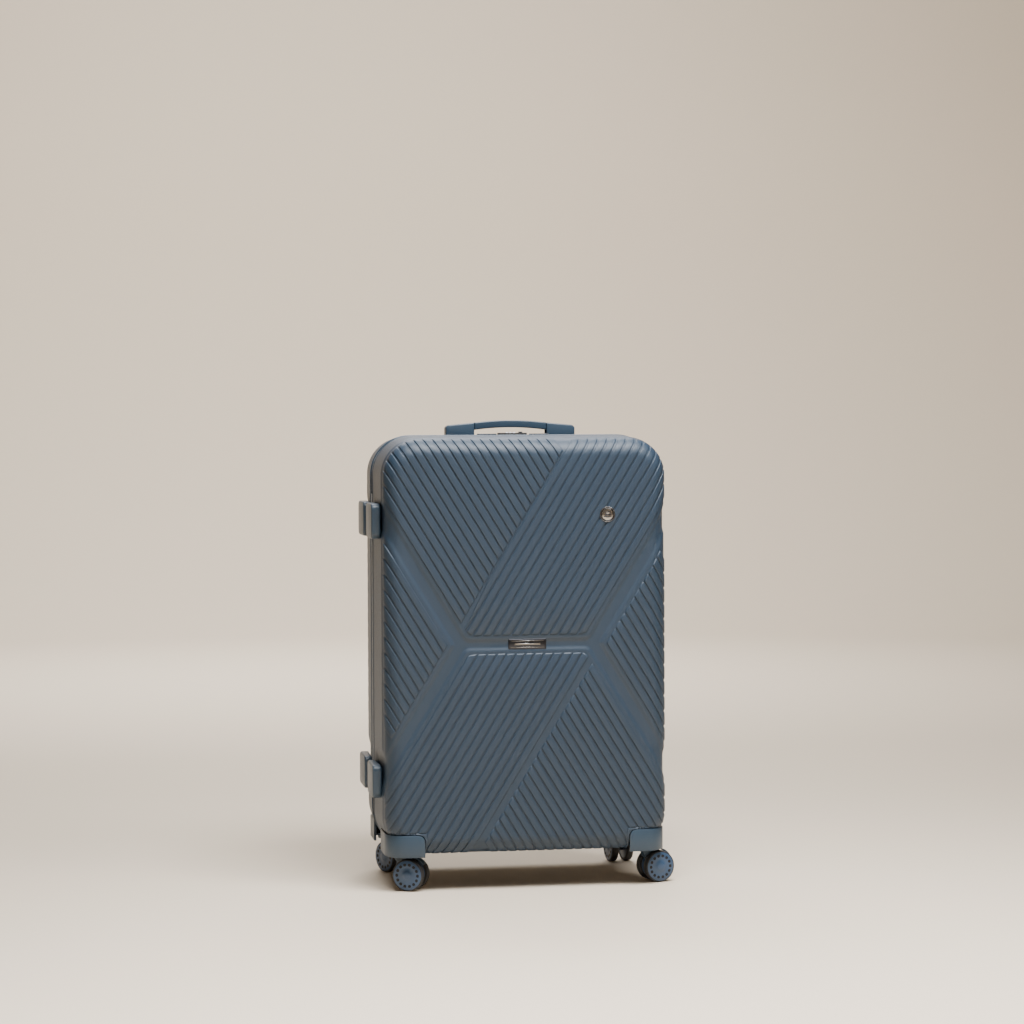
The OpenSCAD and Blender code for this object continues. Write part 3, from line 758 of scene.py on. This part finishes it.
def rib_form(half):
    """Every rib of one shell: flat strips with rounded edges that follow its surface."""
    c = half.c
    form = Form()
    along = np.linspace(-0.70, 0.90, 3201)
    step = along[1] - along[0]
    s_fine = np.linspace(0, half.s_rim, 4000)
    last = half.s_rib - 0.001
    if half.side == REAR:
        cup_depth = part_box("trolley_cup")[1].y + 0.002
        s_cup = float(np.interp(-cup_depth, -half.section(s_fine)[1], s_fine))
    for start, run, way, mask in rib_zones(half):
        for number in range(60):
            lines = []
            for w, _ in RIB_SECTION:
                shift = FIRST_RIB + number * c.pitch + w * MM
                x = start[0] + way[0] * shift + run[0] * along
                z = start[1] + way[1] * shift + run[1] * along
                length = half.reach(x, z)[0]
                s = half.along(length)
                inside = mask(x, z) & (cross_inside(half, x, z) < -0.0012)
                inside &= (s < last) & (length < RIB_LIMIT)
                inside &= ~((np.abs(x) > COVER_CLEAR[0]) & (z < COVER_CLEAR[1]))
                if half.side == REAR:
                    inside &= ~((np.abs(x) < CUP_CLEAR) & (z > half.mid) & (s > s_cup))
                at = np.flatnonzero(inside)
                if len(at) * step < SHORTEST_RIB:
                    break
                edge = at[0] + np.flatnonzero(length[at[0]:] > half.flat)[:1]
                lines.append((along[at[0]], along[at[-1]], along[edge[0]] if len(edge) else 9.0, x, z))
            if len(lines) < len(RIB_SECTION):
                continue
            columns = []
            for (w, height), (t_in, t_out, t_edge, x, z) in zip(RIB_SECTION, lines):
                t_edge = min(max(t_edge, t_in + 0.004), t_out - 0.004)
                flat = np.linspace(t_in + 0.003, t_edge, 6)
                bend = np.linspace(t_edge, t_out - 0.003, 60)
                px, pz = np.interp(bend, along, x), np.interp(bend, along, z)
                path = half.lift(px, pz)
                arc = np.concatenate([[0], np.cumsum(np.linalg.norm(np.diff(path, axis=0), axis=1))])
                bend = np.interp(np.linspace(0, arc[-1], 14), arc, bend)[1:]
                t = np.concatenate([[t_in, t_in + 0.0012], flat, bend, [t_out - 0.0012, t_out]])
                drop = np.zeros(len(t))
                drop[[0, 1, -2, -1]] = -1.7, -0.45, -0.45, -1.7
                columns.append(half.lift(np.interp(t, along, x), np.interp(t, along, z),
                                         np.maximum(height + drop, -2.4) * MM))
            rows = np.stack(columns, 1)
            form.bar(rows)
    return form


def ring_form(half, profile, cell=0.006, gap=None):
    """A closed section swept round the case.

    profile is (radius from the core, y), and gap the (low z, high z) left open on the left side.
    """
    column = half.columns(cell)[0]
    if gap:
        at = column[:, 1] + half.mid
        left = (column[:, 2] == -1) & (at > gap[0]) & (at < gap[1])
        first = int(np.flatnonzero(left)[-1]) + 1
        column = np.roll(column, -first, axis=0)[:len(column) - int(left.sum())]
        ends = [(-half.core_x, gap[0] - half.mid, -1, 0), (-half.core_x, gap[1] - half.mid, -1, 0)]
        column = np.vstack([[ends[0]], column, [ends[1]]])
    rows = [[(c[0] + c[2] * r, half.side * y, half.mid + c[1] + c[3] * r) for c in column]
            for r, y in (*profile, profile[0])]
    form = Form().grid(rows, closed=not gap)
    if gap:
        for end in (0, -1):
            form.add([row[end] for row in rows[:-1]], [list(range(len(profile)))])
    return form, [(c[0] + c[2] * profile[0][0], half.side * profile[0][1],
                   half.mid + c[1] + c[3] * profile[0][0]) for c in column]


# ---------------------------------------------------------------- repeated pieces

class Repeat(Shader):
    """A geometry node tree, with named inputs."""

    def __init__(self, name):
        self.tree = bpy.data.node_groups.new(name, "GeometryNodeTree")
        self.keys = {}
        self.add_input("Geometry", "NodeSocketGeometry")
        self.tree.interface.new_socket(name="Geometry", in_out="OUTPUT", socket_type="NodeSocketGeometry")
        self.inlet = self.tree.nodes.new("NodeGroupInput")

    def add_input(self, name, kind):
        made = self.tree.interface.new_socket(name=name, in_out="INPUT", socket_type=kind)
        self.keys[name] = made.identifier

    def given(self, name):
        return Value(self, self.inlet.outputs[name])

    def ends_in(self, instances):
        real = self.node("GeometryNodeRealizeInstances", {}, {"Geometry": instances})
        done = self.node("GeometryNodeSetMaterial", {},
                         {"Geometry": real, "Material": self.given("Finish")})
        self.join(self.tree.nodes.new("NodeGroupOutput"), {"Geometry": done})

    def run(self, source, values, name):
        """The plain mesh that the tree makes of source."""
        holder = bpy.data.objects.new(name + "_source", source)
        bpy.context.scene.collection.objects.link(holder)
        modifier = holder.modifiers.new("repeat", "NODES")
        modifier.node_group = self.tree
        for key, value in values.items():
            modifier[self.keys[key]] = value
        bpy.context.view_layer.update()
        graph = bpy.context.evaluated_depsgraph_get()
        mesh = bpy.data.meshes.new_from_object(holder.evaluated_get(graph))
        holder.modifiers.clear()
        bpy.data.objects.remove(holder)
        mesh.name = name
        return mesh


def path_tree():
    """One small piece, set along a path at an even spacing and turned to follow it."""
    g = Repeat("Pieces along a path")
    for name, kind in (("Spacing", "NodeSocketFloat"), ("Piece", "NodeSocketObject"),
                       ("Finish", "NodeSocketMaterial")):
        g.add_input(name, kind)
    curve = g.node("GeometryNodeMeshToCurve", {}, {"Mesh": g.given("Geometry")})
    even = g.node("GeometryNodeResampleCurve", {"mode": "LENGTH"},
                  {"Curve": curve, "Length": g.given("Spacing")})
    follow = g.node("FunctionNodeAlignRotationToVector", {"axis": "X", "pivot_axis": "Y"},
                    {"Vector": g.node("GeometryNodeInputTangent")})
    piece = g.node("GeometryNodeObjectInfo", {}, {"Object": g.given("Piece")}, out="Geometry")
    g.ends_in(g.node("GeometryNodeInstanceOnPoints", {},
                     {"Points": even, "Instance": piece, "Rotation": follow}))
    return g


def ring_tree():
    """Short round plugs on a circle, such as the dark plugs set into a hub's face as painted shade for its
    holes.
    """
    g = Repeat("Plugs on a ring")
    for name, kind in (("Count", "NodeSocketInt"), ("Ring", "NodeSocketFloat"),
                       ("Radius", "NodeSocketFloat"), ("Depth", "NodeSocketFloat"),
                       ("Finish", "NodeSocketMaterial")):
        g.add_input(name, kind)
    circle = g.node("GeometryNodeMeshCircle", {}, {"Vertices": g.given("Count"), "Radius": g.given("Ring")})
    plug = g.node("GeometryNodeMeshCylinder", {},
                  {"Vertices": 16, "Radius": g.given("Radius"), "Depth": g.given("Depth")})
    g.ends_in(g.node("GeometryNodeInstanceOnPoints", {}, {"Points": circle, "Instance": plug}))
    return g


def set_along(tree, points, unit, spacing, finish, name, body):
    """Copies of the unit form along points, as one piece on body."""
    path = bpy.data.meshes.new(name + "_path")
    path.from_pydata(points, [(i, i + 1) for i in range(len(points) - 1)], [])
    mesh = bpy.data.meshes.new(name + "_unit")
    mesh.from_pydata(unit.verts, [], unit.faces)
    single = bpy.data.objects.new(name + "_unit", mesh)
    bpy.context.scene.collection.objects.link(single)
    made = tree.run(path, {"Spacing": spacing, "Piece": single, "Finish": finish}, name)
    bpy.data.objects.remove(single)
    return finish_piece(made, name, body)


def paint(finish, *nodes):
    """A carried-over CAD node's finish."""
    for node in nodes:
        obj = frame["nodes"][node]
        if not obj.material_slots:
            obj.data.materials.append(None)
        for place in obj.material_slots:
            place.material = finish


# ---------------------------------------------------------------- operators

class CASE_OT_finishes(bpy.types.Operator):
    """Make the case's materials"""
    bl_idname = "case.finishes"
    bl_label = "Finishes"

    def execute(self, context):
        make_finishes()
        return {"FINISHED"}


class CASE_OT_shells(bpy.types.Operator):
    """Make both ribbed shells and the bead along their rims"""
    bl_idname = "case.shells"
    bl_label = "Shells"

    def execute(self, context):
        for name, body in HALVES:
            half, form = shell_form(name + "_shell", name == "rear")
            form.piece(name + "_shell_form", [FINISH["shell"]], body, (name + "_shell",), "shell")
            rib_form(half).piece(name + "_ribs", [FINISH["shell"]], body, (), "shell", sharp=50)
            radius = half.corner - 0.0004
            turn = np.linspace(0, 2 * math.pi, 9)[:-1]
            bead = [(radius + 0.0013 * math.cos(a), half.rim + 0.0004 + 0.0013 * math.sin(a)) for a in turn]
            ring_form(half, bead)[0].piece(name + "_rim_bead", [FINISH["trim"]], body, (), "shell")
        return {"FINISHED"}


class CASE_OT_zip(bpy.types.Operator):
    """Make the zip, its sliders, the hinge cloth and the lock"""
    bl_idname = "case.zip"
    bl_label = "Zip and lock"

    def execute(self, context):
        along = path_tree()
        tooth = Form().block((-0.0007, -0.0009, -0.0011), (0.0007, 0.0009, 0.0011), 0.0003, 1)
        stitch = Form().block((-0.0011, -0.0003, -0.0003), (0.0011, 0.0003, 0.0003), 0.0002, 1)
        for name, body in HALVES:
            half = HalfCase(name + "_shell")
            band = ((0.0622, 0.0014), (0.0626, 0.0045), (0.0622, 0.0080), (0.0626, 0.0115),
                    (0.0622, 0.0146), (0.0610, 0.0146), (0.0610, 0.0014))
            tape = ring_form(half, band, 0.005, ZIP_ENDS)[0].piece(
                name + "_zip_cloth", [FINISH["cloth"]], body, (name + "_zip_tape",), "zip_cloth")
            around = (4 * (half.core_x + half.core_z) + 2 * math.pi * TAPE_RADIUS
                      - (ZIP_ENDS[1] - ZIP_ENDS[0]))
            for label, radius, y, unit, spacing, finish in (
                    ("teeth", 0.0621, 0.0009, tooth, 0.0024, "teeth"),
                    ("stitches", 0.0627, 0.0118, stitch, 0.0034, "webbing")):
                path = ring_form(half, ((radius, y), (radius, y), (radius, y)), 0.004, ZIP_ENDS)[1]
                set_along(along, path, unit, spacing, FINISH[finish], f"{name}_zip_{label}", body)
        low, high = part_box("hinge_tape")
        across = np.linspace(low.y, high.y, 15)
        down = np.linspace(low.z, high.z, 60)

        def side(x, wave):
            return [[(x + wave * math.sin(y * 900) * math.sin(z * 40), y, z) for y in across] for z in down]

        form = Form().grid(side(low.x + 0.0004, 0.0002)).grid(side(high.x, 0.0))
        rim = [[(x, y, z) for x in (low.x + 0.0004, high.x)] for y, z in
               [(low.y, z) for z in down] + [(y, high.z) for y in across[1:]]
               + [(high.y, z) for z in down[::-1][1:]] + [(y, low.z) for y in across[::-1][1:]]]
        form.grid(rim)
        cloth = form.piece("hinge_cloth", [FINISH["cloth"]], "hinge_strip", ("hinge_tape",), "zip_cloth",
                           merge=3e-4)
        for name in ("left", "right"):
            refine(name + "_zip_slider", FINISH["slider"], 0.0006)
        refine("lock_body", FINISH["black"], 0.0009)
        refine("lock_button", FINISH["slider"], 0.0005)
        for number in (1, 2, 3):
            refine(f"lock_dial_{number}", FINISH["dial"], 0.0003, angle=35)
        return {"FINISHED"}


class CASE_OT_inside(bpy.types.Operator):
    """Make the linings, the packing straps and their buckle"""
    bl_idname = "case.inside"
    bl_label = "Linings and straps"

    def execute(self, context):
        for name, body in HALVES:
            half = HalfCase(name + "_lining", 0.007)
            rows = np.unique(np.concatenate([
                np.linspace(0, half.flat, 5), np.linspace(half.flat, half.s_edge, 7),
                np.linspace(half.s_edge, half.s_rim, 14)]))

            def crease(x, z, s):
                flat = [noise.noise(Vector((a * 14, b * 9, half.side * 3.0))) * 0.6
                        + noise.noise(Vector((a * 45, b * 30, 7.0))) * 0.25
                        for a, b in zip(np.ravel(x), np.ravel(z))]
                held = 1 - smoothstep(half.s_rim - 0.02, half.s_rim, s)
                return np.reshape(flat, np.shape(x)) * CREASE * held

            form = half_form(half, 0.007, rows, rows, lambda x, z, s: crease(x, z, s) - 0.0006,
                             lambda x, z, s: crease(x, z, s) - 0.0016, inner_grid=True)
            lining = form.piece(name + "_lining_cloth", [FINISH["lining"]], body, (name + "_lining",),
                                "lining_cloth", sharp=80)
            wide, tall = 2 * (half.core_x + half.corner), 2 * (half.core_z + half.corner)
            round_it = 2 * (wide + tall) - (8 - 2 * math.pi) * half.corner
            deep = half.face - half.rim
            area = (wide * tall - (4 - math.pi) * half.corner ** 2
                    + round_it * (deep - (2 - math.pi / 2) * half.bend))
            wide + 2 * deep
            tall + 2 * deep
        low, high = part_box("packing_straps")
        reach, middle = high.x, (low.z + high.z) / 2
        run = math.hypot(2 * reach, 2 * reach) - STRAP_WIDTH
        for number, turn in enumerate((45, -45)):
            t = np.linspace(-run / 2, run / 2, 60)
            place = (Matrix.Translation((0, (low.y + high.y) / 2 - 0.0003 * number, middle))
                     @ Matrix.Rotation(math.radians(turn), 4, "Y"))
            loop = [[(a, y + 0.0003 * math.sin(a * 55), w) for w, y in
                     ((-0.0125, -0.0004), (-0.006, -0.0005), (0, -0.0004), (0.006, -0.0005),
                      (0.0125, -0.0004), (0.0125, 0.0004), (0, 0.0004), (-0.0125, 0.0004))] for a in t]
            form = Form().bar(loop, place)
            nodes = ("packing_straps",) if number == 0 else ()
            strap = form.piece(f"packing_strap_{number + 1}", [FINISH["webbing"]], "rear_case", nodes,
                               "strap_webbing")
        refine("strap_buckle", FINISH["black"], 0.0012)
        return {"FINISHED"}


class CASE_OT_handles(bpy.types.Operator):
    """Make the carrying handles and the pull-out handle"""
    bl_idname = "case.handles"
    bl_label = "Handles"

    def execute(self, context):
        refine("top_handle_blocks", FINISH["trim"], 0.0025, 4)
        refine("top_handle_grip", FINISH["grip"], 0.0022, 4)
        refine("side_handle_blocks", FINISH["trim"], 0.0022, 4)
        refine("side_handle_grip", FINISH["grip"], 0.0018, 4)
        refine("trolley_cup", FINISH["black"], 0.0009)
        refine("trolley_grip", FINISH["black"], 0.0028, 4)
        refine("trolley_button", FINISH["button"], 0.0012, 3)
        paint(FINISH["tube"], "trolley_outer_tubes", "trolley_middle_tubes", "trolley_inner_tubes")
        refine("tube_foot_bracket", FINISH["black"], 0.0010)
        paint(FINISH["steel"], "bracket_screws", "front_swivel_pins", "rear_swivel_pins")
        return {"FINISHED"}


class CASE_OT_trim(bpy.types.Operator):
    """Make the side feet, wheel housings, badge and emblem"""
    bl_idname = "case.trim"
    bl_label = "Feet, housings and badges"

    def execute(self, context):
        for name in ("front", "rear"):
            refine(name + "_side_feet", FINISH["trim"], 0.0030, 4)
            cover_form(name + "_wheel_housings", FRONT if name == "front" else REAR).piece(
                name + "_corner_covers", [FINISH["trim"]], name + "_case", (name + "_wheel_housings",),
                "navy_plastic")
        low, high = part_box("badge_plate")
        plate = Form().block((low.x, low.y + 0.0004, low.z), (high.x, high.y + 0.0012, high.z), 0.0022, 4,
                             finish=1)
        frame_width = 0.0012
        plate.block((low.x + frame_width, low.y, low.z + frame_width),
                    (high.x - frame_width, low.y + 0.002, high.z - frame_width), 0.0007, 2, finish=1)
        for edge in (low.z + 0.0030, high.z - 0.0036):
            plate.block((low.x + 0.004, low.y - 0.00008, edge),
                        (high.x - 0.004, low.y + 0.001, edge + 0.0006), 0.0001, 1)
        middle = (low.z + high.z) / 2
        plate.block((low.x + 0.0100, low.y - 0.0001, middle - 0.0013),
                    (high.x - 0.0100, low.y + 0.001, middle + 0.0013), 0.0002, 1)
        metals = [FINISH["bright"], FINISH["plate"]]
        plate.piece("badge", metals, "front_case", ("badge_plate",), "badge_metal")
        low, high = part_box("round_emblem")
        centre = Vector(((low.x + high.x) / 2, high.y, (low.z + high.z) / 2))
        place = Matrix.Translation(centre) @ Matrix.Rotation(math.pi / 2, 4, "X")
        radius = (high.x - low.x) / 2
        disc = Form().lathe([(0, -0.001), (radius, -0.001), (radius, 0.0007), (radius * 0.95, 0.0011),
                             (radius * 0.84, 0.0011), (radius * 0.80, 0.0006), (0, 0.0006)], 64, place, 1)
        rings = ((0.74, 0.02, 0.0011), (0.97, 0.93, 0.0014))
        for wide, narrow, top in rings:
            disc.lathe([(radius * narrow, 0.0005), (radius * wide, 0.0005), (radius * wide, top - 0.0002),
                        (radius * (wide - 0.03), top), (radius * (narrow + 0.03), top),
                        (radius * narrow, top - 0.0002), (radius * narrow, 0.0005)], 64, place, 0)
        for height in (-0.28, 0.0, 0.28):
            disc.block((-radius * 0.5, radius * height - 0.0006, 0.0004),
                       (radius * 0.5, radius * height + 0.0006, 0.0013), 0.0002, 1, finish=1, place=place)
        disc.piece("emblem", metals, "front_case", ("round_emblem",), "badge_metal")
        return {"FINISHED"}


class CASE_OT_wheels(bpy.types.Operator):
    """Make the forks, hubs and tyres"""
    bl_idname = "case.wheels"
    bl_label = "Casters"

    def execute(self, context):
        c = context.scene.case_wheels
        ring = ring_tree()
        for caster in CASTERS:
            refine(caster + "_fork", FINISH["trim"], 0.0009, 2, angle=32)
            paint(FINISH["steel"], caster + "_axle")
            spots = [Vector(joint_of(f"{caster}_{side}_wheel_roll")["pos_m"]) for side in WHEELS]
            for side, spot in zip(WHEELS, spots):
                outward = (spot - (spots[0] + spots[1]) / 2).normalized()
                level = Vector((0, 0, 1)).cross(outward)
                place = Matrix((level, Vector((0, 0, 1)), outward)).transposed().to_4x4()
                place.translation = spot
                name, body = f"{caster}_{side}", f"{caster}_{side}_wheel"
                tread = [(0.0212, -0.0058), (0.0243, -0.0060), (0.0254, -0.0052), (0.0259, -0.0036),
                         (0.0260, 0.0), (0.0259, 0.0036), (0.0254, 0.0052), (0.0243, 0.0060),
                         (0.0212, 0.0056), (0.0212, -0.0058)]
                Form().lathe(tread, 96, place).piece(name + "_tread", [FINISH["tyre"]], body,
                                                     (name + "_tyre",), "tyre")
                face = c.hub_face
                disc = [(0, -0.0055), (0.0200, -0.0055), (0.0213, -0.0048), (0.0213, 0.0052),
                        (face - 0.0012, 0.0058), (face, 0.0060), (face - 0.0007, 0.0065), (0.0140, 0.0062),
                        (0.0078, 0.0062), (0.0066, 0.0071), (0.0052, 0.00755), (0, 0.0077)]
                Form().lathe(disc, 96, place).piece(name + "_disc", [FINISH["hub"]], body,
                                                    (name + "_hub",), "hub_plastic")
                # dark discs set into the hub's face: painted shade standing for the shadow inside each
                # small hole
                holes = ring.run(bpy.data.meshes.new(name + "_seed"),
                                 {"Count": c.holes, "Ring": c.hole_ring, "Radius": c.hole_radius,
                                  "Depth": 0.0010, "Finish": FINISH["dark"]}, name + "_holes")
                holes.transform(place @ Matrix.Translation((0, 0, 0.0059)))
                finish_piece(holes, name + "_holes", body)
        return {"FINISHED"}


class CASE_OT_stage(bpy.types.Operator):
    """Set the floor, backdrop, lights and camera"""
    bl_idname = "case.stage"
    bl_label = "Stage"

    def execute(self, context):
        c = context.scene.case_stage
        reach, bend, top = 5.0, 1.6, 6.0
        line = [(0.0, 0.0), (reach, 0.0)]
        line += [(reach + bend * math.sin(a), bend - bend * math.cos(a))
                 for a in np.linspace(0, math.pi / 2, 24)[1:]] + [(reach + bend, top)]
        mesh = bpy.data.meshes.new("backdrop")
        sweep = Form().lathe(line, 96)
        mesh.from_pydata(sweep.verts, [], sweep.faces)
        mesh.materials.append(FINISH["backdrop"])
        mesh.shade_smooth()
        obj = bpy.data.objects.new("backdrop", mesh)
        context.scene.collection.objects.link(obj)
        for name, place, size, power, aim, spread in (
                ("key", (1.2, -1.1, 2.2), 0.6, 22.0, (0, -0.1, 0.6), 180),
                ("top", (0.15, -0.62, 1.90), 0.6, 40.0, (0.05, -0.3, 0.5), 180),
                ("floor", (0.0, -2.2, 3.4), 2.6, 125.0, (0, -2.2, 0), 80),
                ("rear", (0.0, 2.5, 3.3), 2.2, 150.0, (0, 2.6, 0), 150),
                ("wall", (0.1, 3.4, 3.0), 1.5, 165.0, (0, 6.6, 1.1), 180)):
            light = bpy.data.lights.new(name, "AREA")
            light.size, light.energy, light.spread = size, power, math.radians(spread)
            lamp = bpy.data.objects.new(name, light)
            lamp.location = place
            lamp.rotation_euler = (Vector(aim) - Vector(place)).to_track_quat("-Z", "Y").to_euler()
            context.scene.collection.objects.link(lamp)
        world = bpy.data.worlds.new("room")
        world.use_nodes = True
        world.node_tree.nodes["Background"].inputs["Color"].default_value = (0.95, 0.93, 0.90, 1)
        world.node_tree.nodes["Background"].inputs["Strength"].default_value = 0.08
        context.scene.world = world
        forward = Vector((math.sin(c.yaw) * math.cos(c.pitch), math.cos(c.yaw) * math.cos(c.pitch),
                          -math.sin(c.pitch)))
        right = Vector((math.cos(c.yaw), -math.sin(c.yaw), 0))
        up = right.cross(forward)
        turned = Matrix.Rotation(-c.roll, 3, forward)
        axes = Matrix((turned @ right, turned @ up, -forward)).transposed().to_4x4()
        axes.translation = c.camera_place
        camera = bpy.data.objects.new("camera", bpy.data.cameras.new("camera"))
        camera.data.lens, camera.data.sensor_width = c.lens, 36
        camera.matrix_world = axes
        context.scene.collection.objects.link(camera)
        context.scene.camera = camera
        return {"FINISHED"}


STEPS = (CASE_OT_finishes, CASE_OT_shells, CASE_OT_zip, CASE_OT_inside, CASE_OT_handles, CASE_OT_trim,
         CASE_OT_wheels, CASE_OT_stage)


class CASE_PT_panel(bpy.types.Panel):
    """The case's settings and steps"""
    bl_idname = "CASE_PT_panel"
    bl_label = "Ribbed travel case"
    bl_space_type = "VIEW_3D"
    bl_region_type = "UI"
    bl_category = "Case"

    def draw(self, context):
        for group in SETTINGS:
            box = self.layout.box()
            values = getattr(context.scene, group)
            for key in values.bl_rna.properties.keys():
                if key not in ("rna_type", "name"):
                    box.prop(values, key)
        for step in STEPS:
            self.layout.operator(step.bl_idname)


SETTINGS = {"case_shell": CaseShellSettings, "case_wheels": CaseWheelSettings,
            "case_finish": CaseFinishSettings, "case_stage": CaseStageSettings}
CLASSES = (*SETTINGS.values(), *STEPS, CASE_PT_panel)


def register():
    for cls in CLASSES:
        bpy.utils.register_class(cls)
    for name, cls in SETTINGS.items():
        setattr(bpy.types.Scene, name, PointerProperty(type=cls))


def unregister():
    for name in SETTINGS:
        delattr(bpy.types.Scene, name)
    for cls in reversed(CLASSES):
        bpy.utils.unregister_class(cls)


def main():
    register()
    for step in STEPS:
        family, action = step.bl_idname.split(".")
        getattr(getattr(bpy.ops, family), action)()


if __name__ == "__main__":
    main()
